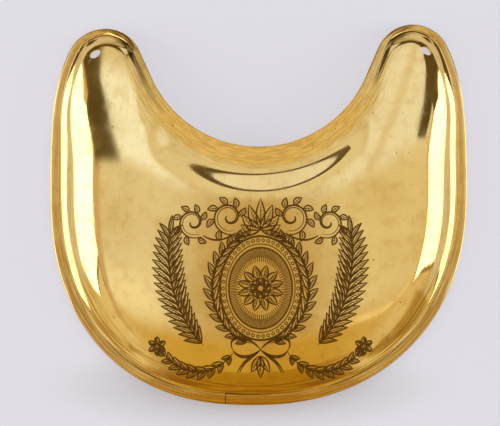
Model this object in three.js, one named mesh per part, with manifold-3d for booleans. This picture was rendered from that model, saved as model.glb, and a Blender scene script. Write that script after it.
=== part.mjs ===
// A gorget: a crescent of gilt sheet metal, worn at the throat on a cord or ribbon.
// It lies on its back with its face up: +Z is out of the face, +Y runs towards the horns and
// +X to the viewer's right. The origin is under the middle of the plate, on the resting plane.
// Lengths are millimetres.
import * as THREE from 'three';
import { mergeVertices } from 'three/addons/utils/BufferGeometryUtils.js';
import Module from 'manifold-3d';

// Size of the plate.
const WIDTH = 140;
const HEIGHT = 127.65;
const CROWN_HEIGHT = 18.5;
const SHEET = 1.0;
const BAND_THICKNESS = 0.3;
const EDGE_ROUNDING = 0.25;

// Outer edge: a superellipse, fuller at the horns than below, whose middle is above the plate's middle.
const HALF_WIDTH = WIDTH / 2;
const HALF_LENGTH = 71.6;
const MIDDLE_Y = HALF_LENGTH - HEIGHT / 2;
const LOWER_POWER = 2.28;
const UPPER_POWER = 3.26;
// The hand-made plate isn't quite even: its lowest point is this far to the left, and towards the
// horns the right side stands higher than the left, in proportion to the distance from the middle.
const LEAN = 2.4;
const TIP_SKEW = 0.023;

// Neck opening and round horn tips.
const NECK_RADIUS = 38.95;
const NECK_Y = MIDDLE_Y + 53.8;
const TIP_X = 51.8;
const TIP_Y = MIDDLE_Y + 42.32;

// The dome falls this far from the crown to the outer edge, before the edge is turned down. Below
// the middle it falls by END_SKEW more than END_FALL, and towards the horns by END_SKEW less.
const SIDE_FALL = 15;
const END_FALL = 10;
const END_SKEW = 2.5;

// Oval cord holes, both a little to the right, whose outer ends are turned down.
const HOLE_X = 55.5;
const HOLE_Y = MIDDLE_Y + 46.5;
const HOLE_SHIFT = 0.7;
const HOLE_LENGTH = 4;
const HOLE_WIDTH = 2.5;
const HOLE_TURN = THREE.MathUtils.degToRad(25);

// The edge, along the right half: place 0 is the bottom middle, 1 where the outer edge meets the
// horn tip, 2 the end of the tip's arc, 3 the start of the neck's arc, 4 the neck's middle.
//   lift   height of the edge, as a share of the dome's height above the resting plane
//   drop   how far a lifted edge lies below the dome
//   flange width of the flat edge;  slope  its rise per mm, inwards
//   turn   width of the turn from the flange up to the dome;  power  how close to the flange it is
//   band   share of the rim band's thickness
const EDGE_ROWS = [
  { place: 0.00, lift: 0.95, drop: 0.0, flange: 3.4, slope: 0.30, turn: 10.0, power: 4.0, band: 1.0 },
  { place: 0.22, lift: 0.90, drop: 0.0, flange: 3.4, slope: 0.22, turn: 11.0, power: 4.5, band: 1.0 },
  { place: 0.40, lift: 0.45, drop: 0.0, flange: 3.3, slope: 0.05, turn: 15.0, power: 6.0, band: 1.0 },
  { place: 0.56, lift: 0.00, drop: 0.0, flange: 3.3, slope: 0.00, turn: 19.5, power: 8.0, band: 1.0 },
  { place: 0.76, lift: 0.00, drop: 0.0, flange: 3.1, slope: 0.00, turn: 19.5, power: 8.0, band: 1.0 },
  { place: 0.90, lift: 0.00, drop: 0.0, flange: 2.3, slope: 0.00, turn: 13.0, power: 7.0, band: 1.0 },
  { place: 1.00, lift: 0.00, drop: 0.0, flange: 2.3, slope: 0.00, turn: 8.5, power: 5.5, band: 1.0 },
  { place: 1.25, lift: 1.00, drop: 2.3, flange: 2.2, slope: 0.00, turn: 5.4, power: 3.6, band: 1.0 },
  { place: 1.50, lift: 1.00, drop: 2.3, flange: 2.1, slope: 0.00, turn: 4.6, power: 3.0, band: 0.6 },
  { place: 2.00, lift: 1.00, drop: 1.7, flange: 2.1, slope: 0.00, turn: 4.4, power: 2.6, band: 0.0 },
  { place: 3.00, lift: 1.00, drop: 1.5, flange: 2.4, slope: 0.00, turn: 4.8, power: 2.6, band: 0.0 },
  { place: 3.22, lift: 1.00, drop: 1.5, flange: 4.2, slope: 0.00, turn: 11.0, power: 2.8, band: 0.0 },
  { place: 3.44, lift: 1.00, drop: 3.0, flange: 6.0, slope: 0.00, turn: 12.5, power: 2.3, band: 0.0 },
  { place: 4.00, lift: 1.00, drop: 3.2, flange: 6.5, slope: 0.00, turn: 12.0, power: 2.2, band: 0.0 },
];

// Mesh density: segments along each stretch of the half outline, rings in from the edge
// (shares of the flange, then of the turn) and steps across the dome.
const TIP_SEGMENTS = 14;
const STRAIGHT_SEGMENTS = 4;
const SIDE_SEGMENTS = 30;
const NECK_SEGMENTS = SIDE_SEGMENTS - STRAIGHT_SEGMENTS;
const FLANGE_RINGS = [0, 0.09, 0.9, 1];
const TURN_RINGS = [0.04, 0.09, 0.15, 0.23, 0.34, 0.48, 0.68, 1];
const DOME_STEPS = 8;
const HOLE_SIDES = 24;
const PEG_LENGTH = 6 * SHEET;

const TIP_STRETCH = 1;

// The outer edge from the bottom middle up the right side.
class OuterEdge extends THREE.Curve {
  constructor(endAngle) {
    super();
    this.endAngle = endAngle;
  }

  getPoint(t, target = new THREE.Vector2()) {
    const angle = THREE.MathUtils.lerp(-Math.PI / 2, this.endAngle, t);
    const sine = Math.sin(angle);
    const power = 2 / (sine < 0 ? LOWER_POWER : UPPER_POWER);
    const x = HALF_WIDTH * Math.abs(Math.cos(angle)) ** power;
    const y = MIDDLE_Y + HALF_LENGTH * Math.sign(sine) * Math.abs(sine) ** power;
    return target.set(x, y);
  }
}

// The angle on the outer edge that is nearest to the middle of the horn tip.
function tipContactAngle(tip) {
  let low = 0.2;
  let high = Math.PI / 2 - 0.05;
  const distance = (angle) => new OuterEdge(angle).getPoint(1).distanceTo(tip);
  while (high - low > 1e-7) {
    const third = (high - low) / 3;
    if (distance(low + third) < distance(high - third)) high -= third;
    else low += third;
  }
  return (low + high) / 2;
}

// The four stretches of the right half of the outline. The tip's arc touches the outer edge, and a
// straight line joins it to the neck's arc.
function outlineStretches() {
  const tip = new THREE.Vector2(TIP_X, TIP_Y);
  const neck = new THREE.Vector2(0, NECK_Y);
  const side = new OuterEdge(tipContactAngle(tip));
  const contact = side.getPoint(1);
  const tipRadius = contact.distanceTo(tip);
  const tipStart = contact.clone().sub(tip).angle();
  const spread = Math.acos((NECK_RADIUS + tipRadius) / tip.distanceTo(neck));
  const neckStart = Math.atan2(tip.y - neck.y, tip.x - neck.x) - spread;
  const tipEnd = neckStart + Math.PI;
  const tipArc = new THREE.EllipseCurve(tip.x, tip.y, tipRadius, tipRadius, tipStart, tipEnd);
  const neckArc = new THREE.EllipseCurve(
    neck.x, neck.y, NECK_RADIUS, NECK_RADIUS, neckStart, -Math.PI / 2, true);
  const straight = new THREE.LineCurve(tipArc.getPoint(1), neckArc.getPoint(0));
  return [
    { curve: side, segments: SIDE_SEGMENTS },
    { curve: tipArc, segments: TIP_SEGMENTS },
    { curve: straight, segments: STRAIGHT_SEGMENTS },
    { curve: neckArc, segments: NECK_SEGMENTS },
  ];
}

// Height of the front of the dome.
function domeHeight(point) {
  const across = point.x / HALF_WIDTH;
  const along = (point.y - MIDDLE_Y) / HALF_LENGTH;
  return CROWN_HEIGHT - SIDE_FALL * across ** 2 - END_FALL * along ** 2 + END_SKEW * along ** 3;
}

// The edge's values at a place, eased between the rows of the table.
function edgeAt(place) {
  const next = Math.max(1, EDGE_ROWS.findIndex((row) => row.place >= place - 1e-9));
  const before = EDGE_ROWS[next - 1];
  const after = EDGE_ROWS[next];
  const share = THREE.MathUtils.smoothstep(place, before.place, after.place);
  const mixed = {};
  for (const key of Object.keys(before)) mixed[key] = THREE.MathUtils.lerp(before[key], after[key], share);
  return mixed;
}

// A station is a point of the outline, with its inward direction and its edge values.
function stationAt(curve, stretch, share) {
  const tangent = curve.getTangentAt(share);
  return {
    foot: curve.getPointAt(share),
    inward: new THREE.Vector2(-tangent.y, tangent.x),
    edge: edgeAt(stretch + share),
  };
}

function halfStations() {
  const stations = [];
  outlineStretches().forEach(({ curve, segments }, stretch) => {
    const first = stretch === 0 ? 0 : 1;
    for (let step = first; step <= segments; step += 1) {
      stations.push(stationAt(curve, stretch, step / segments));
    }
  });
  return stations;
}

function mirrored(station) {
  return {
    foot: new THREE.Vector2(-station.foot.x, station.foot.y),
    inward: new THREE.Vector2(-station.inward.x, station.inward.y),
    edge: station.edge,
  };
}

// Front of the bare sheet, a distance in from the edge.
function edgePoint({ foot, inward, edge }, distance) {
  const point = foot.clone().addScaledVector(inward, distance);
  const edgeHeight = SHEET + edge.lift * (domeHeight(foot) - edge.drop - SHEET);
  const flangeHeight = edgeHeight + edge.slope * distance;
  const turn = THREE.MathUtils.clamp((distance - edge.flange) / edge.turn, 0, 1);
  const share = (1 - turn) ** edge.power * (1 + edge.power * turn);
  const height = THREE.MathUtils.lerp(domeHeight(point), flangeHeight, share);
  return new THREE.Vector3(point.x, point.y, height);
}

// The sheet's front as vertices and triangles: rings in from the edge all the way round, then rows
// across the dome from each outer station to the neck station that faces it.
function sheetFront() {
  const half = halfStations();
  const stations = [...half, ...half.slice(1, -1).reverse().map(mirrored)];
  const ringCount = FLANGE_RINGS.length + TURN_RINGS.length;
  const points = [];
  for (const station of stations) {
    const { flange, turn } = station.edge;
    for (const share of FLANGE_RINGS) points.push(edgePoint(station, share * flange));
    for (const share of TURN_RINGS) points.push(edgePoint(station, flange + share * turn));
  }
  const ringVertex = (station, ring) => ((station + stations.length) % stations.length) * ringCount + ring;

  const triangles = [];
  const addQuad = (a, b, c, d) => {
    if (a !== b && b !== d) triangles.push([a, b, d]);
    if (b !== c && c !== d) triangles.push([b, c, d]);
  };
  for (let station = 0; station < stations.length; station += 1) {
    for (let ring = 0; ring + 1 < ringCount; ring += 1) {
      addQuad(ringVertex(station, ring), ringVertex(station + 1, ring),
        ringVertex(station + 1, ring + 1), ringVertex(station, ring + 1));
    }
  }

  const apex = SIDE_SEGMENTS + TIP_SEGMENTS / 2;
  const innerRing = ringCount - 1;
  const rows = [];
  for (let row = 0; row <= 2 * apex; row += 1) {
    const outer = ringVertex(apex - row, innerRing);
    const inner = ringVertex(apex + row, innerRing);
    const line = [outer];
    for (let step = 1; step < DOME_STEPS; step += 1) {
      if (outer === inner) {
        line.push(outer);
        continue;
      }
      const point = points[outer].clone().lerp(points[inner], step / DOME_STEPS);
      point.z = domeHeight(point);
      line.push(points.length);
      points.push(point);
    }
    line.push(inner);
    rows.push(line);
  }
  for (let row = 0; row < 2 * apex; row += 1) {
    for (let step = 0; step < DOME_STEPS; step += 1) {
      addQuad(rows[row][step], rows[row][step + 1], rows[row + 1][step + 1], rows[row + 1][step]);
    }
  }
  return { points, triangles, stations, ringCount };
}

function toGeometry(points, triangles) {
  const geometry = new THREE.BufferGeometry();
  geometry.setAttribute('position', new THREE.Float32BufferAttribute(points.flatMap((p) => p.toArray()), 3));
  geometry.setIndex(triangles.flat());
  return geometry;
}

// The hand-made unevenness: shifts the plate to the left below its middle, and raises its right side
// and lowers its left side above the middle.
function lean(point) {
  const along = (point.y - MIDDLE_Y) / HALF_LENGTH;
  const below = Math.max(0, -along);
  const above = Math.max(0, along);
  point.y += TIP_SKEW * point.x * above ** 2;
  point.x -= LEAN * below ** 2;
  return point;
}

// The closed plate: the front with its rim band, the back a sheet's thickness below, and the edge.
function plateGeometry() {
  const { points, triangles, stations, ringCount } = sheetFront();
  const sheet = toGeometry(points, triangles);
  sheet.computeVertexNormals();
  const normals = sheet.getAttribute('normal');
  const back = points.map((point, i) => {
    const normal = new THREE.Vector3().fromBufferAttribute(normals, i);
    return point.clone().addScaledVector(normal, -SHEET);
  });
  const front = points.map((point) => point.clone());
  const bandRings = FLANGE_RINGS.length - 1;
  stations.forEach((station, i) => {
    for (let ring = 0; ring < bandRings; ring += 1) {
      front[i * ringCount + ring].z += BAND_THICKNESS * station.edge.band;
    }
    front[i * ringCount].z -= EDGE_ROUNDING;
  });

  const offset = points.length;
  const all = [...front, ...back].map(lean);
  const faces = [...triangles];
  for (const [a, b, c] of triangles) faces.push([a + offset, c + offset, b + offset]);
  for (let station = 0; station < stations.length; station += 1) {
    const here = station * ringCount;
    const next = ((station + 1) % stations.length) * ringCount;
    faces.push([here, here + offset, next]);
    faces.push([next, here + offset, next + offset]);
  }
  return toGeometry(all, faces);
}

// An oval peg through a cord hole, square to the sheet there. Side is 1 on the right and -1 on the
// left; the sheet is found on the right half and mirrored.
function holePeg(side) {
  const tipArc = outlineStretches()[TIP_STRETCH].curve;
  const outward = new THREE.Vector2(HOLE_X + side * HOLE_SHIFT - TIP_X, HOLE_Y - TIP_Y);
  const share = (outward.angle() - tipArc.aStartAngle) / (tipArc.aEndAngle - tipArc.aStartAngle);
  const station = stationAt(tipArc, TIP_STRETCH, share);
  const distance = tipArc.xRadius - outward.length();
  const inwardStep = edgePoint(station, distance + SHEET).sub(edgePoint(station, distance - SHEET));
  const rise = inwardStep.z / (2 * SHEET);
  const axis = new THREE.Vector3(-side * station.inward.x * rise, -station.inward.y * rise, 1).normalize();
  const centre = edgePoint(station, distance);
  centre.x *= side;
  lean(centre);

  const peg = new THREE.CylinderGeometry(HOLE_LENGTH / 2, HOLE_LENGTH / 2, PEG_LENGTH, HOLE_SIDES);
  peg.rotateX(Math.PI / 2);
  peg.scale(1, HOLE_WIDTH / HOLE_LENGTH, 1);
  peg.rotateZ(-side * HOLE_TURN);
  const upright = new THREE.Vector3(0, 0, 1);
  peg.applyQuaternion(new THREE.Quaternion().setFromUnitVectors(upright, axis));
  peg.translate(centre.x, centre.y, centre.z);
  return peg;
}

const wasm = await Module();
wasm.setup();

function toSolid(geometry) {
  const bare = geometry.clone();
  bare.deleteAttribute('normal');
  bare.deleteAttribute('uv');
  const merged = mergeVertices(bare);
  return new wasm.Manifold(new wasm.Mesh({
    numProp: 3,
    vertProperties: merged.getAttribute('position').array,
    triVerts: Uint32Array.from(merged.getIndex().array),
  }));
}

function fromSolid(solid) {
  const mesh = solid.getMesh();
  const geometry = new THREE.BufferGeometry();
  geometry.setAttribute('position', new THREE.BufferAttribute(mesh.vertProperties, 3));
  geometry.setIndex(new THREE.BufferAttribute(mesh.triVerts, 1));
  return geometry;
}

let solid = toSolid(plateGeometry());
for (const side of [1, -1]) solid = solid.subtract(toSolid(holePeg(side)));

const plate = new THREE.Mesh(
  fromSolid(solid),
  new THREE.MeshStandardMaterial({ color: 0xdfba6a, roughness: 0.2, metalness: 1 }),
);
plate.name = 'gorget_plate';

const gorget = new THREE.Group();
gorget.add(plate);

export default gorget;
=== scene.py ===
import math

import bmesh
import bpy
import numpy as np
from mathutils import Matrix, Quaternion, Vector
from mathutils.bvhtree import BVHTree


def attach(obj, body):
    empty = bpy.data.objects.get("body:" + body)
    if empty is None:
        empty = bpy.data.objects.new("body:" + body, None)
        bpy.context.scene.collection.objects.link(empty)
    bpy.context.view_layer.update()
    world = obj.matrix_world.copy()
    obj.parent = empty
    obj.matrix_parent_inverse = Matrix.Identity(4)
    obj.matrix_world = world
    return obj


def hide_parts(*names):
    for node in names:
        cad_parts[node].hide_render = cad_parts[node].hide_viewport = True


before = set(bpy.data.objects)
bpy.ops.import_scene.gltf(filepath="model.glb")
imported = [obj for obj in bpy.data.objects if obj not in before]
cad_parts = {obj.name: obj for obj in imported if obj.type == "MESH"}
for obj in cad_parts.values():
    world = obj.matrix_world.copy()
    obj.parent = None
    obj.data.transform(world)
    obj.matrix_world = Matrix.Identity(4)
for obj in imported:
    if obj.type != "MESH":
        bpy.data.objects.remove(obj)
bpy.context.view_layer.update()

MM = 0.001
FULL_TURN = 2 * math.pi

# Shape of the plate, in millimetres, as in the solid that it stands for.
WIDTH = 140.0
HEIGHT = 127.65
CROWN_HEIGHT = 18.5
SHEET = 1.0
BAND_THICKNESS = 0.3
EDGE_RADIUS = 0.45
HALF_WIDTH = WIDTH / 2
HALF_LENGTH = 71.6
MIDDLE_Y = HALF_LENGTH - HEIGHT / 2
LOWER_POWER = 2.28
UPPER_POWER = 3.26
LEAN = 2.4
TIP_SKEW = 0.023
NECK_RADIUS = 38.95
NECK_CENTRE = np.array([0.0, MIDDLE_Y + 53.8])
TIP_CENTRE = np.array([51.8, MIDDLE_Y + 42.32])
SIDE_FALL = 15.0
END_FALL = 10.0
END_SKEW = 2.5
HOLE_CENTRE = np.array([55.5, MIDDLE_Y + 46.5])
HOLE_SHIFT = 0.7
HOLE_LENGTH = 4.0
HOLE_WIDTH = 2.5
HOLE_TURN = math.radians(25)
PEG_LENGTH = 10 * SHEET
PEG_RADIUS = 0.5

# The edge along the right half. Place 0 is the bottom middle, 1 where the outer edge meets the horn
# tip, 2 the end of the tip's arc, 3 the start of the neck's arc and 4 the neck's middle.
EDGE_COLUMNS = ("place", "lift", "drop", "flange", "slope", "turn", "power", "band")
EDGE_ROWS = np.array([
    (0.00, 0.95, 0.0, 3.4, 0.30, 10.0, 4.0, 1.0),
    (0.22, 0.90, 0.0, 3.4, 0.22, 11.0, 4.5, 1.0),
    (0.40, 0.45, 0.0, 3.3, 0.05, 15.0, 6.0, 1.0),
    (0.56, 0.00, 0.0, 3.3, 0.00, 19.5, 8.0, 1.0),
    (0.76, 0.00, 0.0, 3.1, 0.00, 19.5, 8.0, 1.0),
    (0.90, 0.00, 0.0, 2.3, 0.00, 13.0, 7.0, 1.0),
    (1.00, 0.00, 0.0, 2.3, 0.00, 8.5, 5.5, 1.0),
    (1.25, 1.00, 2.3, 2.2, 0.00, 5.4, 3.6, 1.0),
    (1.50, 1.00, 2.3, 2.1, 0.00, 4.6, 3.0, 0.6),
    (2.00, 1.00, 1.7, 2.1, 0.00, 4.4, 2.6, 0.0),
    (3.00, 1.00, 1.5, 2.4, 0.00, 4.8, 2.6, 0.0),
    (3.22, 1.00, 1.5, 4.2, 0.00, 11.0, 2.8, 0.0),
    (3.44, 1.00, 3.0, 6.0, 0.00, 12.5, 2.3, 0.0),
    (4.00, 1.00, 3.2, 6.5, 0.00, 12.0, 2.2, 0.0),
])
# Shares of the flange's width over which the rim band ends.
BAND_FADE = (0.88, 0.98)

# How worn the rim is at places along the edge, and the shares of the flange's width where that ends.
WEAR_PLACES = (0.0, 0.35, 0.55, 0.85, 1.1, 1.6, 2.2, 3.0, 3.5)
RIM_WEAR = (0.9, 0.8, 0.15, 0.2, 0.9, 1.0, 0.6, 0.35, 0.3)
RIM_FADE = (0.8, 1.05)
# How strong the rubbing lines beside the edge are, and the distances over which they fade.
RUB_PLACES = (0.0, 0.2, 0.45, 0.6, 1.0, 2.0, 3.2, 4.0)
RUB_STRENGTH = (1.0, 1.5, 1.4, 0.4, 0.3, 0.55, 0.55, 0.45)
RUB_FADE = (5.0, 11.0)
# The neck lip is worn to a satin surface.
SATIN_PLACES = (2.7, 3.3)
SATIN_FADE = (5.5, 8.0)
# A painted dark stripe in the inner fold of each horn, standing in for a dark reflection there: places,
# strength, and distances from the edge.
LEFT_PAINTED_FOLD_SHADE_PLACES = (1.6, 1.8, 2.9, 3.3)
RIGHT_PAINTED_FOLD_SHADE_PLACES = (1.5, 1.65, 1.9, 2.15)
PAINTED_FOLD_SHADE_STRENGTH = (0.0, 1.0, 0.8, 0.0)
PAINTED_FOLD_SHADE_START = (1.7, 2.3)
PAINTED_FOLD_SHADE_END = (3.2, 4.0)

# Mesh density of the plate. The rings are shares of the flange's width, and then of the fold's.
SIDE_SEGMENTS = 120
TIP_SEGMENTS = 32
STRAIGHT_SEGMENTS = 6
NECK_SEGMENTS = SIDE_SEGMENTS - STRAIGHT_SEGMENTS
FLANGE_RINGS = np.array([0.0, 0.025, 0.06, 0.10, 0.14, 0.4, 0.7, 0.86, 0.90, 0.94, 0.97, 1.0])
TURN_STEPS = 20
TURN_CROWDING = 1.25
TURN_RINGS = (np.arange(1, TURN_STEPS + 1) / TURN_STEPS) ** TURN_CROWDING
DOME_STEPS = 44
HOLE_SIDES = 48
SHARP_ANGLE = math.radians(40)

# How finely the outline's curves are measured.
CONTACT_ANGLES = np.linspace(0.2, 1.5, 20001)
LENGTH_SAMPLES = 6001
NUDGE = 1e-5


def smoothstep(value, low, high):
    share = np.clip((value - low) / (high - low), 0, 1)
    return share * share * (3 - 2 * share)


# Outline of the plate

def outer_edge(angle):
    sine = np.sin(angle)
    cosine = np.cos(angle)
    power = 2 / np.where(sine < 0, LOWER_POWER, UPPER_POWER)
    x = HALF_WIDTH * np.sign(cosine) * np.abs(cosine) ** power
    y = MIDDLE_Y + HALF_LENGTH * np.sign(sine) * np.abs(sine) ** power
    return np.stack([x, y], axis=-1)


def circle(centre, radius):
    def point(angle):
        return centre + radius * np.stack([np.cos(angle), np.sin(angle)], axis=-1)
    return point


def straight(start, end):
    def point(share):
        return start + np.asarray(share)[..., None] * (end - start)
    return point


def outline_stretches():
    """The four stretches of the right half: curve, first and last parameter, segments."""
    gaps = np.linalg.norm(outer_edge(CONTACT_ANGLES) - TIP_CENTRE, axis=1)
    contact = CONTACT_ANGLES[np.argmin(gaps)]
    tip_radius = gaps.min()
    touch = outer_edge(contact) - TIP_CENTRE
    tip_start = math.atan2(touch[1], touch[0])
    across = TIP_CENTRE - NECK_CENTRE
    spread = math.acos((NECK_RADIUS + tip_radius) / np.linalg.norm(across))
    neck_start = math.atan2(across[1], across[0]) - spread
    tip_end = neck_start + math.pi
    tip = circle(TIP_CENTRE, tip_radius)
    neck = circle(NECK_CENTRE, NECK_RADIUS)
    line = straight(tip(tip_end), neck(neck_start))
    return [
        (outer_edge, -math.pi / 2, contact, SIDE_SEGMENTS),
        (tip, tip_start, tip_end, TIP_SEGMENTS),
        (line, 0.0, 1.0, STRAIGHT_SEGMENTS),
        (neck, neck_start, -math.pi / 2, NECK_SEGMENTS),
    ]


def edge_values(place):
    """Each column of the edge table at the given places, eased between its rows."""
    row = np.clip(np.searchsorted(EDGE_ROWS[:, 0], place) - 1, 0, len(EDGE_ROWS) - 2)
    share = smoothstep(place, EDGE_ROWS[row, 0], EDGE_ROWS[row + 1, 0])
    mixed = EDGE_ROWS[row] + share[:, None] * (EDGE_ROWS[row + 1] - EDGE_ROWS[row])
    return {name: mixed[:, column, None] for column, name in enumerate(EDGE_COLUMNS)}


def half_stations():
    """Points along the right half of the outline, their inward directions and their places."""
    feet = []
    inwards = []
    places = []
    for stretch, (curve, start, end, segments) in enumerate(outline_stretches()):
        fine = np.linspace(start, end, LENGTH_SAMPLES)
        steps = np.linalg.norm(np.diff(curve(fine), axis=0), axis=1)
        length = np.concatenate([[0.0], np.cumsum(steps)])
        first = 0 if stretch == 0 else 1
        shares = np.linspace(0, 1, segments + 1)[first:]
        parameter = np.interp(shares * length[-1], length, fine)
        nudge = (end - start) * NUDGE
        tangent = curve(parameter + nudge) - curve(parameter - nudge)
        tangent /= np.linalg.norm(tangent, axis=1)[:, None]
        feet.append(curve(parameter))
        inwards.append(np.stack([-tangent[:, 1], tangent[:, 0]], axis=1))
        places.append(stretch + shares)
    return np.concatenate(feet), np.concatenate(inwards), np.concatenate(places)


def all_stations():
    """The whole outline: the right half from the bottom to the neck, then the left half back."""
    foot, inward, place = half_stations()
    flip = np.array([-1.0, 1.0])
    foot = np.concatenate([foot, foot[-2:0:-1] * flip])
    inward = np.concatenate([inward, inward[-2:0:-1] * flip])
    return foot, inward, np.concatenate([place, place[-2:0:-1]])


# Surface of the plate

def dome_height(point):
    across = point[..., 0] / HALF_WIDTH
    along_plate = (point[..., 1] - MIDDLE_Y) / HALF_LENGTH
    fall = SIDE_FALL * across ** 2 + END_FALL * along_plate ** 2
    return CROWN_HEIGHT - fall + END_SKEW * along_plate ** 3


def edge_points(foot, inward, edge, distance):
    """Front of the bare sheet at distances in from the edge, one row for each station."""
    flat = foot[:, None, :] + inward[:, None, :] * distance[:, :, None]
    edge_height = SHEET + edge["lift"] * (dome_height(foot)[:, None] - edge["drop"] - SHEET)
    flange_height = edge_height + edge["slope"] * distance
    turn = np.clip((distance - edge["flange"]) / edge["turn"], 0, 1)
    share = (1 - turn) ** edge["power"] * (1 + edge["power"] * turn)
    height = dome_height(flat) * (1 - share) + flange_height * share
    return np.concatenate([flat, height[:, :, None]], axis=2)


def dome_grid(sheet, inner_ring):
    """Points of the dome between the two sides of its border, and the grid of all vertex numbers."""
    apex = SIDE_SEGMENTS + TIP_SEGMENTS // 2
    row = np.arange(2 * apex + 1)
    outer = inner_ring[(apex - row) % len(inner_ring)]
    inner = inner_ring[(apex + row) % len(inner_ring)]
    step = np.arange(1, DOME_STEPS)[None, :, None] / DOME_STEPS
    dome = sheet[outer, None, :] * (1 - step) + sheet[inner, None, :] * step
    dome[:, :, 2] = dome_height(dome)
    dome = dome[1:-1]
    numbers = len(sheet) + np.arange(dome[:, :, 0].size).reshape(dome.shape[:2])
    first_tip = np.repeat(outer[:1, None], DOME_STEPS - 1, axis=1)
    last_tip = np.repeat(outer[-1:, None], DOME_STEPS - 1, axis=1)
    between = np.concatenate([first_tip, numbers, last_tip])
    index = np.concatenate([outer[:, None], between, inner[:, None]], axis=1)
    return dome.reshape(-1, 3), index


def lean(points):
    """The hand-made irregularity: the lower edge leans left and the right horn stands higher."""
    below = np.clip((MIDDLE_Y - points[:, 1]) / HALF_LENGTH, 0, None)
    above = np.clip((points[:, 1] - MIDDLE_Y) / HALF_LENGTH, 0, None)
    leaned = points.copy()
    leaned[:, 0] -= LEAN * below ** 2
    leaned[:, 1] += TIP_SKEW * points[:, 0] * above ** 2
    return leaned


def quad_grid(index):
    """Faces between the rows and columns of a grid of vertex numbers, without collapsed corners."""
    corners = np.stack([index[:-1, :-1], index[1:, :-1], index[1:, 1:], index[:-1, 1:]], axis=-1)
    faces = []
    for corner in corners.reshape(-1, 4):
        face = list(dict.fromkeys(corner.tolist()))
        if len(face) > 2:
            faces.append(face)
    return faces


def vertex_normals(points, faces):
    normals = np.zeros_like(points)
    triangles = np.array([
        (face[0], face[k], face[k + 1]) for face in faces for k in range(1, len(face) - 1)])
    a, b, c = (points[triangles[:, k]] for k in range(3))
    flat = np.cross(b - a, c - a)
    for k in range(3):
        np.add.at(normals, triangles[:, k], flat)
    return normals / np.linalg.norm(normals, axis=1)[:, None]


def wear_and_shade_values(foot, place, edge, distance):
    """What the gilding reads at the rings along the edge, by name, including the painted shade in the
    horns' inner folds.
    """
    numbers = np.arange(len(place))
    from_bottom = np.minimum(numbers, len(place) - numbers)
    rim = np.interp(place, WEAR_PLACES, RIM_WEAR)[:, None]
    rub = np.interp(place, RUB_PLACES, RUB_STRENGTH)[:, None]
    # Painted shade: a dark stripe in each horn's inner fold, standing in for a dark reflection.
    painted_fold_shade = np.where(
        foot[:, 0] < 0,
        np.interp(place, LEFT_PAINTED_FOLD_SHADE_PLACES, PAINTED_FOLD_SHADE_STRENGTH),
        np.interp(place, RIGHT_PAINTED_FOLD_SHADE_PLACES, PAINTED_FOLD_SHADE_STRENGTH))[:, None]
    in_fold = smoothstep(distance, *PAINTED_FOLD_SHADE_START) * (1 - smoothstep(distance, *PAINTED_FOLD_SHADE_END))
    on_lip = smoothstep(place[:, None], *SATIN_PLACES) * (1 - smoothstep(distance, *SATIN_FADE))
    return {
        "edge": distance,
        "run": from_bottom[:, None] + np.zeros_like(distance),
        "rim": rim * (1 - smoothstep(distance / edge["flange"], *RIM_FADE)),
        "rub": rub * (1 - smoothstep(distance, *RUB_FADE)),
        "satin": on_lip,
        "painted_fold_shade": painted_fold_shade * in_fold,
    }


def plate_mesh():
    """Front and back of the sheet with the rim between them, and the values that the gilding reads."""
    foot, inward, place = all_stations()
    edge = edge_values(place)
    distance = np.concatenate([
        edge["flange"] * FLANGE_RINGS,
        edge["flange"] + edge["turn"] * TURN_RINGS,
    ], axis=1)
    ring_index = np.arange(distance.size).reshape(distance.shape)
    sheet = edge_points(foot, inward, edge, distance).reshape(-1, 3)
    faces = quad_grid(np.concatenate([ring_index, ring_index[:1]]))
    dome, dome_index = dome_grid(sheet, ring_index[:, -1])
    sheet = np.concatenate([sheet, dome])
    faces += [face[::-1] for face in quad_grid(dome_index)]

    back = sheet - SHEET * vertex_normals(sheet, faces)
    front = sheet.copy()
    flange_index = ring_index[:, :len(FLANGE_RINGS)]
    band = edge["band"] * BAND_THICKNESS * (1 - smoothstep(FLANGE_RINGS, *BAND_FADE))
    from_edge = np.clip(EDGE_RADIUS - distance[:, :len(FLANGE_RINGS)], 0, None)
    front[flange_index, 2] += band
    front[flange_index, 2] -= EDGE_RADIUS - np.sqrt(EDGE_RADIUS ** 2 - from_edge ** 2)

    offset = len(sheet)
    faces += [[corner + offset for corner in face[::-1]] for face in faces]
    border = np.append(ring_index[:, 0], ring_index[0, 0]).tolist()
    faces += [[a, a + offset, b + offset, b] for a, b in zip(border[:-1], border[1:])]
    points = lean(np.concatenate([front, back])) * MM

    mesh = bpy.data.meshes.new("gorget")
    mesh.from_pydata(points.tolist(), [], faces)
    for name, values in wear_and_shade_values(foot, place, edge, distance).items():
        whole = np.full(len(sheet), values[0, -1])
        whole[:ring_index.size] = values.reshape(-1)
        layer = mesh.attributes.new(name, "FLOAT", "POINT")
        layer.data.foreach_set("value", np.tile(whole, 2))
    mesh.validate()
    return mesh


def add_object(name, mesh, material=None):
    obj = bpy.data.objects.new(name, mesh)
    bpy.context.scene.collection.objects.link(obj)
    if material:
        mesh.materials.append(material)
    return obj


def surface_finder(obj):
    """A function that gives the front surface's point and normal under a place in millimetres."""
    corners = [vertex.co for vertex in obj.data.vertices]
    faces = [tuple(face.vertices) for face in obj.data.polygons]
    tree = BVHTree.FromPolygons(corners, faces)
    start_height = 2 * CROWN_HEIGHT * MM
    down = Vector((0, 0, -1))

    def find(x, y):
        point, normal, _, _ = tree.ray_cast(Vector((x * MM, y * MM, start_height)), down)
        return point, normal
    return find


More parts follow.
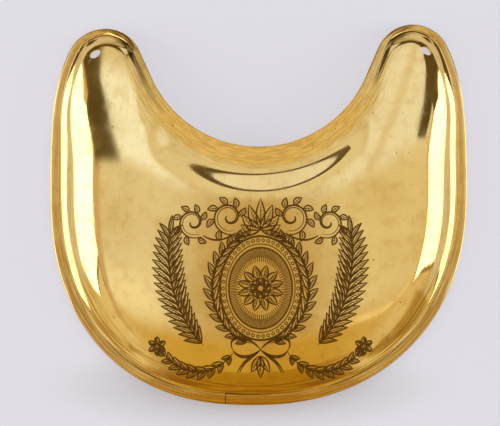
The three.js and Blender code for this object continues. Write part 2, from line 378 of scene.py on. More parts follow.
def hole_peg(side, find):
    """An oval peg square to the sheet at the left or right cord hole."""
    spot = np.array([[side * HOLE_CENTRE[0] + HOLE_SHIFT, HOLE_CENTRE[1], 0.0]])
    x, y, _ = lean(spot)[0]
    point, normal = find(x, y)
    shape = bmesh.new()
    bmesh.ops.create_cone(
        shape, cap_ends=True, segments=HOLE_SIDES,
        radius1=PEG_RADIUS, radius2=PEG_RADIUS, depth=PEG_LENGTH * MM)
    for vertex in shape.verts:
        vertex.co.x *= HOLE_LENGTH * MM / (2 * PEG_RADIUS)
        vertex.co.y *= HOLE_WIDTH * MM / (2 * PEG_RADIUS)
    mesh = bpy.data.meshes.new("peg")
    shape.to_mesh(mesh)
    shape.free()
    up = Vector((0, 0, 1))
    peg = add_object("peg", mesh)
    peg.rotation_mode = "QUATERNION"
    peg.rotation_quaternion = up.rotation_difference(normal) @ Quaternion(up, -side * HOLE_TURN)
    peg.location = point
    return peg


def cut_holes(obj, find):
    """Cuts the two slanted oval cord holes."""
    for side in (-1, 1):
        peg = hole_peg(side, find)
        cut = obj.modifiers.new("hole", "BOOLEAN")
        cut.operation = "DIFFERENCE"
        cut.solver = "EXACT"
        cut.object = peg
        bpy.context.view_layer.update()
        cut_object = obj.evaluated_get(bpy.context.evaluated_depsgraph_get())
        holed = bpy.data.meshes.new_from_object(cut_object)
        obj.modifiers.clear()
        obj.data = holed
        bpy.data.objects.remove(peg)


# Shader nodes

def add_node(tree, kind, inputs=None, **settings):
    """A shader node whose inputs are given by name or number, as plain values or as links."""
    node = tree.nodes.new("ShaderNode" + kind)
    for name, value in settings.items():
        setattr(node, name, value)
    for name, value in (inputs or {}).items():
        if isinstance(value, bpy.types.NodeSocket):
            tree.links.new(value, node.inputs[name])
        else:
            node.inputs[name].default_value = value
    return node


def maths(tree, operation, *values):
    return add_node(tree, "Math", dict(enumerate(values)), operation=operation).outputs[0]


def vector_maths(tree, operation, *values):
    return add_node(tree, "VectorMath", dict(enumerate(values)), operation=operation).outputs[0]


def object_place(tree):
    return add_node(tree, "TexCoord").outputs["Object"]


def ramp(tree, value, start, end):
    """Eases from 0 to 1 while the value goes from start to end."""
    inputs = {"Value": value, "From Min": start, "From Max": end, "To Min": 0.0, "To Max": 1.0}
    return add_node(tree, "MapRange", inputs, interpolation_type="SMOOTHSTEP").outputs["Result"]


def mix_colour(tree, share, first, second):
    return add_node(tree, "Mix", {0: share, 6: first, 7: second}, data_type="RGBA").outputs[2]


def product(tree, *factors):
    result = factors[0]
    for factor in factors[1:]:
        result = maths(tree, "MULTIPLY", result, factor)
    return result


def slanted(tree, x, y, slope):
    """Across a slanted line: x less slope times y."""
    return maths(tree, "MULTIPLY_ADD", y, -slope, x)


def oval_distance(tree, place, centre, scale):
    """Distance from a centre, scaled along each axis."""
    scaled = vector_maths(tree, "MULTIPLY", vector_maths(tree, "SUBTRACT", place, centre), scale)
    return add_node(tree, "VectorMath", {0: scaled}, operation="LENGTH").outputs["Value"]


def noise(tree, place, stretch, scale, detail):
    stretched = vector_maths(tree, "MULTIPLY", place, stretch)
    inputs = {"Vector": stretched, "Scale": scale, "Detail": detail}
    return add_node(tree, "TexNoise", inputs).outputs["Fac"]


def opaque(colour):
    return (*colour, 1.0)


def surface_material(name):
    """A new material, with its node tree and its shader."""
    material = bpy.data.materials.new(name)
    material.use_nodes = True
    return material, material.node_tree, material.node_tree.nodes["Principled BSDF"]


# Metal of the plate

GILT = (0.95, 0.69, 0.26)
WORN_GILT = (0.70, 0.41, 0.10)
LIP = (1.0, 0.68, 0.17)
STREAK = (0.52, 0.29, 0.06)
PIT = (0.22, 0.13, 0.04)
# Painted shade of the dark stripe in each horn's inner fold.
PAINTED_FOLD_SHADE = (0.13, 0.07, 0.014)
ENGRAVED = (0.14, 0.062, 0.004)

# Patterns of noise: stretch along each axis, scale and detail, and the values over which each shows.
UNSTRETCHED = (1.0, 1.0, 1.0)
RUBBING = ((1.8, 0.08, 1.0), 1.0, 5.0)
RUBBING_SHOWS = (0.38, 0.64)
BLOTCHES = (UNSTRETCHED, 55.0, 5.0)
BLOTCHES_SHOW = (0.40, 0.75)
MOTTLING = (UNSTRETCHED, 260.0, 3.0)
MOTTLING_SHOWS = (0.45, 0.75)
SCRATCHES = ((1.0, 0.07, 1.0), 1400.0, 2.0)
SCRATCHES_SHOW = (0.62, 0.72)
PITS = (UNSTRETCHED, 900.0, 1.0)
PITS_SHOW = (0.77, 0.80)
WAVES = (UNSTRETCHED, 40.0, 1.0)

# How much each pattern wears the gilding, and how strongly the other colours lie over it.
RUBBING_WEAR = 0.3
BLOTCH_WEAR = 0.34
MOTTLING_WEAR = 0.32
SCRATCH_WEAR = 0.22
RIM_WEAR_SHARE = 0.75
LIP_SHARE = 0.7
STREAK_SHARE = 0.8
PAINTED_FOLD_SHADE_SHARE = 0.85

# Roughness of the polish, what full wear and the satin lip add to it, and the relief in millimetres.
POLISHED = 0.05
WORN_ROUGHNESS = 0.12
SATIN_ROUGHNESS = 0.52
WAVE_DEPTH = 0.1
RUBBING_DEPTH = 0.04
RUBBING_RELIEF = 0.1
GROOVE_METALLIC = 0.8
GROOVE_ROUGHNESS = 0.6


def gilt_material():
    """Polished gilding: worn rim, rubbing lines near it, soft blotches, scratches, a few pits, and a
    painted dark stripe of shade in each horn's inner fold.
    """
    material, tree, shader = surface_material("gilt")
    place = object_place(tree)
    edge, run, rim, rub, satin, painted_fold_shade = (
        add_node(tree, "Attribute", attribute_name=name).outputs["Fac"]
        for name in ("edge", "run", "rim", "rub", "satin", "painted_fold_shade"))
    rim_place = add_node(tree, "CombineXYZ", {"X": edge, "Y": run}).outputs[0]

    rubbing = product(tree, ramp(tree, noise(tree, rim_place, *RUBBING), *RUBBING_SHOWS), rub)
    blotches = ramp(tree, noise(tree, place, *BLOTCHES), *BLOTCHES_SHOW)
    mottling = ramp(tree, noise(tree, place, *MOTTLING), *MOTTLING_SHOWS)
    scratches = ramp(tree, noise(tree, place, *SCRATCHES), *SCRATCHES_SHOW)
    pits = ramp(tree, noise(tree, place, *PITS), *PITS_SHOW)
    wear = product(tree, rubbing, RUBBING_WEAR)
    for layer, share in (
            (blotches, BLOTCH_WEAR),
            (mottling, MOTTLING_WEAR),
            (scratches, SCRATCH_WEAR),
            (rim, RIM_WEAR_SHARE)):
        wear = maths(tree, "MULTIPLY_ADD", layer, share, wear)
    wear = maths(tree, "MINIMUM", wear, 1.0)

    colour = mix_colour(tree, wear, opaque(GILT), opaque(WORN_GILT))
    for share, overlay in (
            (product(tree, satin, LIP_SHARE), LIP),
            (product(tree, rubbing, STREAK_SHARE), STREAK),
            (pits, PIT),
            # The last layer is painted shade, a dark stripe in each horn's inner fold.
            (product(tree, painted_fold_shade, PAINTED_FOLD_SHADE_SHARE), PAINTED_FOLD_SHADE)):
        colour = mix_colour(tree, share, colour, opaque(overlay))
    tree.links.new(colour, shader.inputs["Base Color"])

    polish = maths(tree, "MULTIPLY_ADD", wear, WORN_ROUGHNESS, POLISHED)
    roughness = maths(tree, "MULTIPLY_ADD", satin, SATIN_ROUGHNESS, polish)
    tree.links.new(roughness, shader.inputs["Roughness"])
    shader.inputs["Metallic"].default_value = 1.0

    waves = {
        "Height": noise(tree, place, *WAVES),
        "Strength": 1.0,
        "Distance": WAVE_DEPTH * MM,
    }
    lines = {
        "Height": rubbing,
        "Strength": RUBBING_RELIEF,
        "Distance": RUBBING_DEPTH * MM,
        "Normal": add_node(tree, "Bump", waves).outputs[0],
    }
    tree.links.new(add_node(tree, "Bump", lines).outputs[0], shader.inputs["Normal"])
    return material


def engraved_material():
    material, _, shader = surface_material("engraved_lines")
    shader.inputs["Base Color"].default_value = opaque(ENGRAVED)
    shader.inputs["Metallic"].default_value = GROOVE_METALLIC
    shader.inputs["Roughness"].default_value = GROOVE_ROUGHNESS
    return material


# Engraved ornament, in millimetres from its own middle

# Its middle on the plate, and the widths and depths of its lines.
ORNAMENT_MIDDLE = np.array([0.6, -23.4])
LINE = 0.56
FINE = 0.34
BOLD = 1.2 * LINE
BOLDEST = 1.3 * LINE
GROOVE_DEPTH = 0.25
GROOVE_PROUD = 0.02
SHORTEST_STEP = 1e-9
# Width of a line's ends, as a share of its width in the middle.
THIN_ENDS = 0.35
BLUNT_ENDS = 0.6
BROAD_ENDS = 0.8
FULL_ENDS = 1.0
# Points along a leaf, the power that moves its widest place to its base, and its shading lines.
LEAF_POINTS = 10
LEAF_POWER = 0.85
HATCH_FIRST = 2
HATCH_LAST = 7
HATCHES = 8
HATCH_REACH = 0.92
HATCH_SLANT = 0.1
# Leaves of a branch: the first pair's place, the smallest and the end leaf's size, and their bend.
FIRST_PAIR = 0.4
SMALLEST_LEAF = 0.66
END_LEAF = 0.7
LEAF_BEND = 0.08
BRANCH_POINTS = 30
# Points along a scroll, how far it curls in, its second line, and its lobes as shares of its radius.
SCROLL_POINTS = 44
SCROLL_CURL = 0.85
SCROLL_INSET = 0.8
SCROLL_TURNS = 1.35
LOBES = 7
LOBE_STEP = 4
LOBE_TURN = 0.7
LOBE_LENGTH = 0.62
LOBE_WIDTH = 0.3
LOBE_BEND = 0.1
LOBE_HATCHES = 3
# The medallion: its border lines as sizes and widths, its beads and its rays.
MEDALLION_CENTRE = np.array([0.0, -1.0])
MEDALLION_RADII = np.array([10.5, 13.5])
MEDALLION_BORDER = ((1.0, LINE), (1.09, FINE), (1.28, BOLDEST))
BEADS = 46
BEAD_RING = 1.185
BEAD_RADIUS = 0.5
RAYS = 144
RAY_STARTS = (0.76, 0.66)
RAY_END = 0.98
# The wreath, the flower, and the ends and handles of the other curves.
WREATH_RADII = (16.0, 18.8)
WREATH_START = math.radians(-78)
WREATH_END = math.radians(66)
WREATH_POINTS = 40
PALM = ((19, -20), (27, -12), (32, 2), (30, 17))
FESTOON = ((9, -22.5), (16, -31.5), (26, -31), (33.5, -22))
FLOWER_CENTRE = (34.5, -20.5)
TENDRIL_JOINT = (8.4, 17.4)
INNER_TENDRIL = ((0, 18.6), (3, 16), (6, 15.6), TENDRIL_JOINT)
OUTER_TENDRIL = (TENDRIL_JOINT, (12, 14.6), (16, 14.2), (19.1, 16.6))
KNOT = (0, -21.5)
LOOP_END = (9.2, -21.6)
BOW_OUTSETS = (0.0, 0.8)
# The fans of leaves over and under the medallion: foot, leaves on each side, the turn from one leaf to
# the next, the middle leaf's length, how much shorter the next ones get, and the bend of each.
CREST_FOOT = np.array([0.0, 18.4])
CREST_SIDES = 3
CREST_TURN = 0.44
CREST_LENGTH = 10.4
CREST_SHORTENING = 1.2
CREST_BEND = 0.05
CREST_LEAF_WIDTH = 2.9
PENDANT_FOOT = np.array([0.0, -23.6])
PENDANT_SIDES = 1
PENDANT_TURN = 0.5
PENDANT_LENGTH = 7.4
PENDANT_SHORTENING = 1.0
PENDANT_LEAF_WIDTH = 2.4

# Every engraved line: its points and its width at each of them.
strokes = []


def unit(angle):
    return np.array([math.cos(angle), math.sin(angle)])


def stroke(points, width=LINE, ends=THIN_ENDS):
    """One engraved line, whose ends have the given share of its width."""
    points = np.asarray(points, dtype=float)
    share = np.linspace(0, 1, len(points))
    strokes.append((points, width * (ends + (1 - ends) * np.sin(np.pi * share) ** 0.5)))


def bezier(start, first, second, end, count=18):
    share = np.linspace(0, 1, count)[:, None]
    start, first, second, end = (np.asarray(point, dtype=float) for point in (start, first, second, end))
    return ((1 - share) ** 3 * start + 3 * (1 - share) ** 2 * share * first
            + 3 * (1 - share) * share ** 2 * second + share ** 3 * end)


def oval(centre, across, up, first=0.0, last=FULL_TURN, count=97):
    angle = np.linspace(first, last, count)[:, None]
    return np.asarray(centre) + np.concatenate([across * np.cos(angle), up * np.sin(angle)], axis=1)


def along(path, share):
    """The point at a share of a path, and the path's direction there."""
    position = share * (len(path) - 1)
    index = min(int(position), len(path) - 2)
    step = path[index + 1] - path[index]
    return path[index] + (position - index) * step, math.atan2(step[1], step[0])


def leaf(base, angle, length, width, bend=0.0, hatches=HATCHES):
    """A pointed leaf with a midrib, shaded by short lines on one side."""
    share = np.linspace(0, 1, LEAF_POINTS)[:, None]
    ahead = unit(angle)
    aside = unit(angle + math.pi / 2)
    spine = base + length * (share * ahead + bend * np.sin(np.pi * share) * aside)
    half = width / 2 * np.sin(np.pi * share ** LEAF_POWER) * aside
    stroke(spine + half)
    stroke(spine - half)
    stroke(spine[:-2], FINE)
    for index in np.linspace(HATCH_FIRST, HATCH_LAST, hatches).astype(int):
        hatch_end = spine[index] - HATCH_REACH * half[index] + HATCH_SLANT * length * ahead
        stroke([spine[index], hatch_end], FINE, BLUNT_ENDS)


def leafy_branch(path, pairs, length, width, spread):
    """A stem with pairs of leaves, largest in its middle, and one leaf at its end."""
    stroke(path)
    for pair in range(pairs):
        share = (pair + FIRST_PAIR) / pairs
        base, angle = along(path, share)
        size = SMALLEST_LEAF + (1 - SMALLEST_LEAF) * math.sin(math.pi * share)
        for side in (-1, 1):
            leaf(base, angle + side * spread, length * size, width * size, -LEAF_BEND * side)
    end, angle = along(path, 1.0)
    leaf(end, angle, END_LEAF * length, END_LEAF * width)


def rosette(centre, petals, inner, length, width):
    for petal in range(petals):
        angle = FULL_TURN * (petal + 0.5) / petals
        leaf(np.asarray(centre) + inner * unit(angle), angle, length, width)
    stroke(oval(centre, inner, inner, count=25), LINE, FULL_ENDS)


def scroll(centre, radius, start):
    """A curled acanthus tendril: a double spiral with leaf lobes on its outer side."""
    share = np.linspace(0, 1, SCROLL_POINTS)[:, None]
    angle = start + SCROLL_TURNS * FULL_TURN * share
    spoke = np.concatenate([np.cos(angle), np.sin(angle)], axis=1)
    spiral = radius * (1 - SCROLL_CURL * share) * spoke
    for width, inset in ((BOLD, 1.0), (FINE, SCROLL_INSET)):
        stroke(np.asarray(centre) + inset * spiral, width)
    for lobe in range(LOBES):
        index = 1 + LOBE_STEP * lobe
        base = np.asarray(centre) + spiral[index]
        heading = math.atan2(spoke[index, 1], spoke[index, 0]) - LOBE_TURN
        leaf(base, heading, LOBE_LENGTH * radius, LOBE_WIDTH * radius, LOBE_BEND, LOBE_HATCHES)


def draw_bow():
    """The right half of a ribbon's bow, as double lines."""
    for outset in BOW_OUTSETS:
        stroke(bezier(KNOT, (4, -16.5 + outset), (12, -16.8 + outset), LOOP_END))
        stroke(bezier(LOOP_END, (7.4, -24.6 - outset), (3, -24 - outset), KNOT))
        stroke(bezier(KNOT, (3, -25 + outset), (5.4, -25 + outset), (7 + outset, -29.4)))


def draw_right_half():
    wreath = oval(MEDALLION_CENTRE, *WREATH_RADII, WREATH_START, WREATH_END, WREATH_POINTS)
    leafy_branch(wreath, pairs=12, length=5.6, width=2.1, spread=0.5)
    leafy_branch(bezier(*PALM, BRANCH_POINTS), pairs=17, length=9.0, width=2.0, spread=0.66)
    leafy_branch(bezier(*FESTOON, BRANCH_POINTS), pairs=9, length=4.8, width=2.0, spread=0.55)
    rosette(FLOWER_CENTRE, petals=6, inner=0.9, length=2.4, width=1.5)
    scroll(centre=(10.4, 22.6), radius=6.0, start=math.radians(-110))
    scroll(centre=(22.4, 20.8), radius=5.4, start=math.radians(-120))
    stroke(bezier(*INNER_TENDRIL), BOLD)
    stroke(bezier(*OUTER_TENDRIL), BOLD)
    draw_bow()


def draw_medallion():
    def point(angle, size):
        return MEDALLION_CENTRE + size * MEDALLION_RADII * unit(angle)

    for size, width in MEDALLION_BORDER:
        stroke(oval(MEDALLION_CENTRE, *(size * MEDALLION_RADII)), width, FULL_ENDS)
    for bead in range(BEADS):
        centre = point(FULL_TURN * bead / BEADS, BEAD_RING)
        stroke(oval(centre, BEAD_RADIUS, BEAD_RADIUS, count=9), FINE, FULL_ENDS)
    for ray in range(RAYS):
        angle = FULL_TURN * ray / RAYS
        stroke([point(angle, RAY_STARTS[ray % 2]), point(angle, RAY_END)], FINE, BROAD_ENDS)
    rosette(MEDALLION_CENTRE, petals=12, inner=3.2, length=4.6, width=2.3)
    rosette(MEDALLION_CENTRE, petals=8, inner=1.1, length=2.2, width=1.1)


def draw_ornament():
    """Draws the right half and mirrors it, and then draws what stands in the middle."""
    draw_right_half()
    mirror = np.array([-1.0, 1.0])
    strokes.extend([(points * mirror, widths) for points, widths in strokes])
    draw_medallion()
    for step in range(-CREST_SIDES, CREST_SIDES + 1):
        angle = math.pi / 2 + CREST_TURN * step
        length = CREST_LENGTH - CREST_SHORTENING * abs(step)
        leaf(CREST_FOOT, angle, length, CREST_LEAF_WIDTH, CREST_BEND * step)
    for step in range(-PENDANT_SIDES, PENDANT_SIDES + 1):
        angle = -math.pi / 2 + PENDANT_TURN * step
        length = PENDANT_LENGTH - PENDANT_SHORTENING * abs(step)
        leaf(PENDANT_FOOT, angle, length, PENDANT_LEAF_WIDTH)


def groove_mesh(name, lines, find):
    """Dark wedges set into the plate's front along the given lines, with three corners at each point."""
    points = []
    faces = []
    for path, widths in lines:
        step = np.gradient(path, axis=0)
        step /= np.linalg.norm(step, axis=1)[:, None] + SHORTEST_STEP
        half = np.stack([-step[:, 1], step[:, 0]], axis=1) * widths[:, None] / 2
        first = len(points)
        for middle, offset in zip(path, half):
            for place, rise in (
                    (middle + offset, GROOVE_PROUD),
                    (middle - offset, GROOVE_PROUD),
                    (middle, -GROOVE_DEPTH)):
                point, _ = find(place[0], place[1])
                points.append((point.x, point.y, point.z + rise * MM))
        for index in range(len(path) - 1):
            left, right, low = (first + 3 * index + corner for corner in range(3))
            faces.append((right, right + 3, left + 3, left))
            faces.append((left, left + 3, low + 3, low))
            faces.append((low, low + 3, right + 3, right))
        last = len(points) - 3
        faces.append((first, first + 2, first + 1))
        faces.append((last, last + 1, last + 2))
    mesh = bpy.data.meshes.new(name)
    mesh.from_pydata(points, [], faces)
    mesh.validate()
    return mesh


# Joint of the rim band at the bottom, in millimetres

# Its ends, its heights above the lower edge, and the widths of its lines.
BOTTOM_Y = MIDDLE_Y - HALF_LENGTH
SEAM_START_X = -11.1
SEAM_END_X = 4.4
SEAM_MIDDLE_X = -2.0
SEAM_RISE = 3.7
SEAM_CURVE = 0.0042
SEAM_WIDTHS = (0.5, 0.2)
SEAM_POINTS = 24
BUTT_RISE = 0.7
BUTT_WIDTH = 0.34
BUTT_POINTS = 8


def seam_lines():
    """The open line along the band's upper edge, and the butt joint of the band at its left end."""
    across = np.linspace(SEAM_START_X, SEAM_END_X, SEAM_POINTS)
    rise = BOTTOM_Y + SEAM_RISE + SEAM_CURVE * (across - SEAM_MIDDLE_X) ** 2
    joint = np.stack([across, rise], axis=1)
    butt_y = np.linspace(BOTTOM_Y + BUTT_RISE, rise[0], BUTT_POINTS)
    butt = np.stack([np.full(BUTT_POINTS, SEAM_START_X), butt_y], axis=1)
    return [
        (joint, np.linspace(*SEAM_WIDTHS, SEAM_POINTS)),
        (butt, np.full(BUTT_POINTS, BUTT_WIDTH)),
    ]


# Pieces of the gorget

def add_piece(name, mesh, material):
    piece = add_object(name, mesh, material)
    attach(piece, "root")
    return piece


plate = add_piece("gorget", plate_mesh(), gilt_material())
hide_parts("gorget_plate")
find_surface = surface_finder(plate)
cut_holes(plate, find_surface)
plate.data.shade_smooth()
plate.data.set_sharp_from_angle(angle=SHARP_ANGLE)

draw_ornament()
placed = [(points + ORNAMENT_MIDDLE, widths) for points, widths in strokes]
add_piece("engraving", groove_mesh("engraving", placed, find_surface), engraved_material())
add_piece("band_seam", groove_mesh("band_seam", seam_lines(), find_surface), engraved_material())


# Floor, in metres

# A pale ground just under the plate, with a painted soft shadow below the plate's lower edge.
FLOOR_COLOUR = (0.30, 0.30, 0.305)
FLOOR_GLOW = (0.50, 0.50, 0.565)
FLOOR_REACH = 20.0
FLOOR_GAP = 0.0001
SHADE_GLOW = (0.30, 0.29, 0.32)
SHADE_CENTRE = (-0.005, -0.058, 0.0)
SHADE_RADII = (0.075, 0.018, 1.0)
SHADE_FADE = (0.2, 1.0)


def level_band(half_width, first, second):
    """Corners of a rectangle between two level lines, each given by its y and z."""
    return [(-half_width, *first), (half_width, *first), (half_width, *second), (-half_width, *second)]


def flat_mesh(name, corners):
    mesh = bpy.data.meshes.new(name)
    mesh.from_pydata(corners, [], [range(len(corners))])
    return mesh


def floor_material():
    material, tree, shader = surface_material("floor")
    scale = [1 / radius for radius in SHADE_RADII]
    # Painted shadow: the glow darkens in an oval below the plate's lower edge.
    from_shade = oval_distance(tree, object_place(tree), SHADE_CENTRE, scale)
    glow = mix_colour(tree, ramp(tree, from_shade, *SHADE_FADE), opaque(SHADE_GLOW), opaque(FLOOR_GLOW))
    tree.links.new(glow, shader.inputs["Emission Color"])
    shader.inputs["Emission Strength"].default_value = 1.0
    shader.inputs["Base Color"].default_value = opaque(FLOOR_COLOUR)
    shader.inputs["Roughness"].default_value = 1.0
    shader.inputs["Specular IOR Level"].default_value = 0
    return material


floor_corners = level_band(FLOOR_REACH, (-FLOOR_REACH, 0), (FLOOR_REACH, 0))
floor = add_object("floor", flat_mesh("floor", floor_corners), floor_material())
floor.location.z = -FLOOR_GAP


# Panels of light, in metres

# A ceiling, two side walls, two lower corners, a front and a back. The camera doesn't see them, and the
# polished plate mirrors them. In their names, upper means towards the horns.
CEILING_LIGHT = (0.79, 0.79, 0.79)
RIGHT_LIGHT = (0.79, 0.76, 0.66)
UPPER_RIGHT_LIGHT = (0.88, 0.95, 1.18)
UPPER_LEFT_LIGHT = (1.0, 1.15, 1.6)
LOWER_LEFT_LIGHT = (0.94, 0.96, 0.99)
PATCH_LIGHT = (0.54, 0.40, 0.18)
GLINT_LIGHT = (0.98, 0.88, 0.62)
BAR_LIGHT = (0.10, 0.072, 0.025)
EDGE_LIGHT = (0.64, 0.51, 0.38)
LINE_LIGHT = (0.22, 0.12, 0.05)
BOX_LIGHT = (3.2, 3.2, 3.2)
LENS_LIGHT = (0.86, 0.9, 1.1)
WARM_LIGHT = (0.62, 0.43, 0.10)
WARM_MIDDLE_LIGHT = (0.46, 0.27, 0.025)
WARM_LOW_LIGHT = (0.36, 0.21, 0.025)
CORNER_LIGHT = (0.78, 0.70, 0.50)
LEFT_LOW_LIGHT = (0.80, 0.70, 0.48)
RIGHT_LOW_LIGHT = (0.54, 0.40, 0.15)
BACK_LIGHT = (0.54, 0.49, 0.40)
ROOM_LIGHT = (0.12, 0.088, 0.035)

# Ranges over which the ceiling eases from one light to the next, and the slopes of slanted borders.
RIGHT_START = (0.1, 0.8)
RIGHT_REACH = (0.35, 0.05)
UPPER_START = (-0.17, -0.09)
UPPER_SLOPE = 0.33
UPPER_RIGHT_START = (0.15, 0.4)
UPPER_LEFT_START = (-0.25, -0.65)
UPPER_LEFT_END = (0.7, 0.4)
UPPER_LEFT_SLOPE = -3.0
DULL_LEFT = (0.55, 0.59)
DULL_RIGHT = (0.66, 0.62)
DULL_SLOPE = 0.9
PATCH_CENTRE = (0.0, -0.48, 0.0)
PATCH_SQUEEZE = (1.0, 0.68, 1.0)
PATCH_RADII = (0.12, 0.72)
LOWER_LEFT_START = (-0.4, -0.8)
LOWER_LEFT_TOP = (-0.25, -0.5)
WARM_START = (-0.71, -0.92)
WARM_SLOPE = 0.21
WARM_FADE = (0.4, 1.4)
GLINT_UPPER = (-0.82, -0.835)
GLINT_LOWER = (-0.88, -0.865)
GLINT_SIDE = (0.45, 0.62)
LEFT_MARGIN = (-1.07, -1.16)
RIGHT_MARGIN = (1.44, 1.50)
# Each dark bar: the range and slope of its inner side, then of its outer side, and its lower end.
LEFT_BAR = ((-0.81, -0.83), -0.6, (-1.17, -1.15), -0.45, (0.13, 0.19))
RIGHT_BAR = ((0.975, 0.99), 0.5, (1.06, 1.045), 0.9, (0.235, 0.26))
# Heights over which the light of the lower corners changes.
CORNER_RISE = (0.25, 0.85)

# Places of the panels.
CEILING_HEIGHT = 1.3
LEFT_X = -1.32
RIGHT_X = 1.62
WALL_START = -0.6
LEFT_END = 0.45
RIGHT_END = 0.48
RIGHT_CORNER = 0.36
FRONT_X = 1.9
FRONT_Y = -1.1
WARM_FOLD = (-1.7, 0.8)
WARM_FOOT = (-1.8, 0.0)
CORNER_NEAR = (1.3, -0.6)
CORNER_FAR = (1.95, -1.75)
LOW_WALL_START = -0.2
LOW_WALL_END = -0.8
LOW_WALL_GAP = 0.03
BACK_X = 3.0
BACK_Y = 3.2
LINE_WIDTH = 0.055
EDGE_WIDTH = 0.07

# The ceiling's corners as x and y, round from the front. The plate mirrors the gaps past its upper
# end as dark shapes.
CEILING_OUTLINE = [
    (-FRONT_X, FRONT_Y), (FRONT_X, FRONT_Y),
    (RIGHT_X, WALL_START), (RIGHT_X, RIGHT_CORNER), (1.24, RIGHT_END), (1.40, 0.62),
    (1.0, 1.06), (0.2, 1.2), (-0.15, 0.82), (-1.0, 0.94),
    (-1.8, 0.94), (-1.8, 0.78), (-1.12, 0.70), (-1.12, LEFT_END),
    (LEFT_X, LEFT_END), (LEFT_X, WALL_START),
]
LENS_OUTLINE = [
    (-0.3, 0.82, CEILING_HEIGHT), (0.35, 1.53, CEILING_HEIGHT),
    (0.35, 2.0, 1.0), (-0.3, 2.0, 1.0),
]
# Borders of the bright side walls as y and z: the upper end, the lower end with a dark line along it,
# and the foot.
LEFT_TOP = [(0.56, 0.0), (0.50, 0.2), (0.44, 0.5), (0.41, 0.8), (0.39, CEILING_HEIGHT)]
LEFT_LINE = [(-0.32, CEILING_HEIGHT), (-0.465, 0.8), (-0.61, 0.57)]
LEFT_FOOT = [(-0.51, 0.29), (-0.33, 0.0)]
RIGHT_TOP = [(0.515, 0.0), (0.485, 0.2), (0.44, 0.5), (0.41, 0.9), (RIGHT_CORNER, CEILING_HEIGHT)]
RIGHT_LINE = [(-0.70, CEILING_HEIGHT), (-0.54, 0.78), (-0.474, 0.125), (-0.45, 0.0)]


def light_material(name):
    """A new material for a panel of light, with its node tree and its emission node."""
    material = bpy.data.materials.new(name)
    material.use_nodes = True
    tree = material.node_tree
    tree.nodes.clear()
    emission = add_node(tree, "Emission")
    add_node(tree, "OutputMaterial", {"Surface": emission.outputs[0]})
    return material, tree, emission


def even_light(name, colour):
    material, _, emission = light_material(name)
    emission.inputs["Color"].default_value = opaque(colour)
    return material


def corner_light(name, low):
    """The light of a lower corner, which changes towards the floor."""
    material, tree, emission = light_material(name)
    height = add_node(tree, "SeparateXYZ", {0: object_place(tree)}).outputs["Z"]
    colour = mix_colour(tree, ramp(tree, height, *CORNER_RISE), opaque(low), opaque(CORNER_LIGHT))
    tree.links.new(colour, emission.inputs["Color"])
    return material


def warm_light(name, middle, ends):
    """A warm panel whose light changes towards both ends."""
    material, tree, emission = light_material(name)
    x = add_node(tree, "SeparateXYZ", {0: object_place(tree)}).outputs["X"]
    fade = ramp(tree, maths(tree, "ABSOLUTE", x), *WARM_FADE)
    tree.links.new(mix_colour(tree, fade, opaque(middle), opaque(ends)), emission.inputs["Color"])
    return material


def ceiling_light(name):
    """The ceiling's lights, each laid over the ones before it."""
    material, tree, emission = light_material(name)
    place = object_place(tree)
    split = add_node(tree, "SeparateXYZ", {0: place})
    x = split.outputs["X"]
    y = split.outputs["Y"]
    from_middle = maths(tree, "ABSOLUTE", x)

    def lay(colour, light, *shares):
        return mix_colour(tree, product(tree, *shares), colour, opaque(light))

    # A warmer right side, and bright upper corners, the right one with a dull streak across it
    right_side = (ramp(tree, x, *RIGHT_START), ramp(tree, y, *RIGHT_REACH))
    colour = lay(opaque(CEILING_LIGHT), RIGHT_LIGHT, *right_side)
    upper = ramp(tree, slanted(tree, y, from_middle, UPPER_SLOPE), *UPPER_START)
    colour = lay(colour, UPPER_RIGHT_LIGHT, upper, ramp(tree, x, *UPPER_RIGHT_START))
    across_streak = slanted(tree, x, y, DULL_SLOPE)
    dull_streak = (ramp(tree, across_streak, *DULL_LEFT), ramp(tree, across_streak, *DULL_RIGHT))
    colour = lay(colour, CEILING_LIGHT, upper, *dull_streak)
    left_end = ramp(tree, slanted(tree, x, y, UPPER_LEFT_SLOPE), *UPPER_LEFT_END)
    colour = lay(colour, UPPER_LEFT_LIGHT, upper, ramp(tree, x, *UPPER_LEFT_START), left_end)

    # A dim warm patch below the middle, and a pale lower left
    from_patch = oval_distance(tree, place, PATCH_CENTRE, PATCH_SQUEEZE)
    colour = mix_colour(tree, ramp(tree, from_patch, *PATCH_RADII), opaque(PATCH_LIGHT), colour)
    lower_left = (ramp(tree, x, *LOWER_LEFT_START), ramp(tree, y, *LOWER_LEFT_TOP))
    colour = lay(colour, LOWER_LEFT_LIGHT, *lower_left)

    # The warm lower end, with a thin glint at its right
    warm_fade = ramp(tree, from_middle, *WARM_FADE)
    warm = mix_colour(tree, warm_fade, opaque(WARM_LIGHT), opaque(CORNER_LIGHT))
    front = slanted(tree, y, from_middle, WARM_SLOPE)
    colour = mix_colour(tree, ramp(tree, front, *WARM_START), colour, warm)
    glint = product(tree, ramp(tree, front, *GLINT_UPPER), ramp(tree, front, *GLINT_LOWER))
    colour = lay(colour, GLINT_LIGHT, glint, ramp(tree, x, *GLINT_SIDE))

    # Margins beside the walls, and a dark bar near each upper corner
    for margin in (LEFT_MARGIN, RIGHT_MARGIN):
        colour = lay(colour, EDGE_LIGHT, ramp(tree, x, *margin))
    for inner, inner_slope, outer, outer_slope, low_end in (LEFT_BAR, RIGHT_BAR):
        inside = ramp(tree, slanted(tree, x, y, inner_slope), *inner)
        outside = ramp(tree, slanted(tree, x, y, outer_slope), *outer)
        colour = lay(colour, BAR_LIGHT, inside, outside, ramp(tree, y, *low_end))
    tree.links.new(colour, emission.inputs["Color"])
    return material


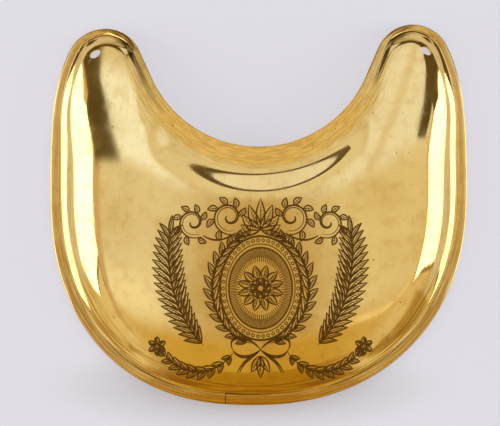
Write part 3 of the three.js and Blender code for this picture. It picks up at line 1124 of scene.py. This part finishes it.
def panel(name, corners, material, height=0.0):
    """A flat panel that lights the plate and shows in its polish."""
    obj = add_object(name, flat_mesh(name, corners), material)
    obj.location.z = height
    obj.visible_camera = False


def wall(name, x, outline, colour):
    panel(name, [(x, y, z) for y, z in outline], even_light(name, colour))


def strip(outline, width):
    """A narrow strip on the lower side of a line on a wall."""
    return outline + [(y - width, z) for y, z in reversed(outline)]


ceiling_corners = [(x, y, 0) for x, y in CEILING_OUTLINE]
panel("ceiling", ceiling_corners, ceiling_light("ceiling"), CEILING_HEIGHT)

wall("left_box", LEFT_X, LEFT_TOP + LEFT_LINE + LEFT_FOOT, BOX_LIGHT)
wall("right_box", RIGHT_X, RIGHT_TOP + RIGHT_LINE, BOX_LIGHT)
wall("left_edge", LEFT_X, strip(LEFT_TOP, -EDGE_WIDTH), EDGE_LIGHT)
wall("left_line", LEFT_X, strip(LEFT_LINE, LINE_WIDTH), LINE_LIGHT)
wall("right_line", RIGHT_X, strip(RIGHT_LINE, LINE_WIDTH), LINE_LIGHT)
low_wall = [
    (LOW_WALL_START, 0.0), (LOW_WALL_START, CEILING_HEIGHT),
    (LOW_WALL_END, CEILING_HEIGHT), (LOW_WALL_END, 0.0),
]
wall("left_low", LEFT_X - LOW_WALL_GAP, low_wall, CORNER_LIGHT)
wall("right_low", RIGHT_X + LOW_WALL_GAP, low_wall, CORNER_LIGHT)
panel("lens_box", LENS_OUTLINE, even_light("lens_box", LENS_LIGHT))

upper_corners = level_band(FRONT_X, (FRONT_Y, CEILING_HEIGHT), WARM_FOLD)
panel("warm_upper", upper_corners, warm_light("warm_upper", WARM_MIDDLE_LIGHT, CORNER_LIGHT))
lower_corners = level_band(FRONT_X, WARM_FOLD, WARM_FOOT)
panel("warm_lower", lower_corners, warm_light("warm_lower", WARM_LOW_LIGHT, RIGHT_LOW_LIGHT))
for side, low_light in ((-1, LEFT_LOW_LIGHT), (1, RIGHT_LOW_LIGHT)):
    near = (side * CORNER_NEAR[0], CORNER_NEAR[1])
    far = (side * CORNER_FAR[0], CORNER_FAR[1])
    corners = [(*near, 0.0), (*near, CEILING_HEIGHT), (*far, CEILING_HEIGHT), (*far, 0.0)]
    panel("corner", corners, corner_light("corner", low_light))
back_corners = level_band(BACK_X, (BACK_Y, 0), (BACK_Y, CEILING_HEIGHT))
panel("back", back_corners, even_light("back", BACK_LIGHT))

world = bpy.data.worlds.new("studio")
world.use_nodes = True
world.node_tree.nodes["Background"].inputs["Color"].default_value = opaque(ROOM_LIGHT)
bpy.context.scene.world = world


# Camera, in metres

# It looks straight down at the plate. The sensor's width is in millimetres.
SENSOR = 36.0
CAMERA_X = -0.0029
CAMERA_Y = 0.00055
CAMERA_HEIGHT = 1.0
FRAME_WIDTH = 0.1683

camera_data = bpy.data.cameras.new("camera")
camera_data.sensor_width = SENSOR
camera_data.lens = SENSOR * CAMERA_HEIGHT / FRAME_WIDTH
camera = bpy.data.objects.new("camera", camera_data)
bpy.context.scene.collection.objects.link(camera)
camera.location = (CAMERA_X, CAMERA_Y, CAMERA_HEIGHT)
bpy.context.scene.camera = camera
bpy.context.scene.view_settings.view_transform = "Standard"
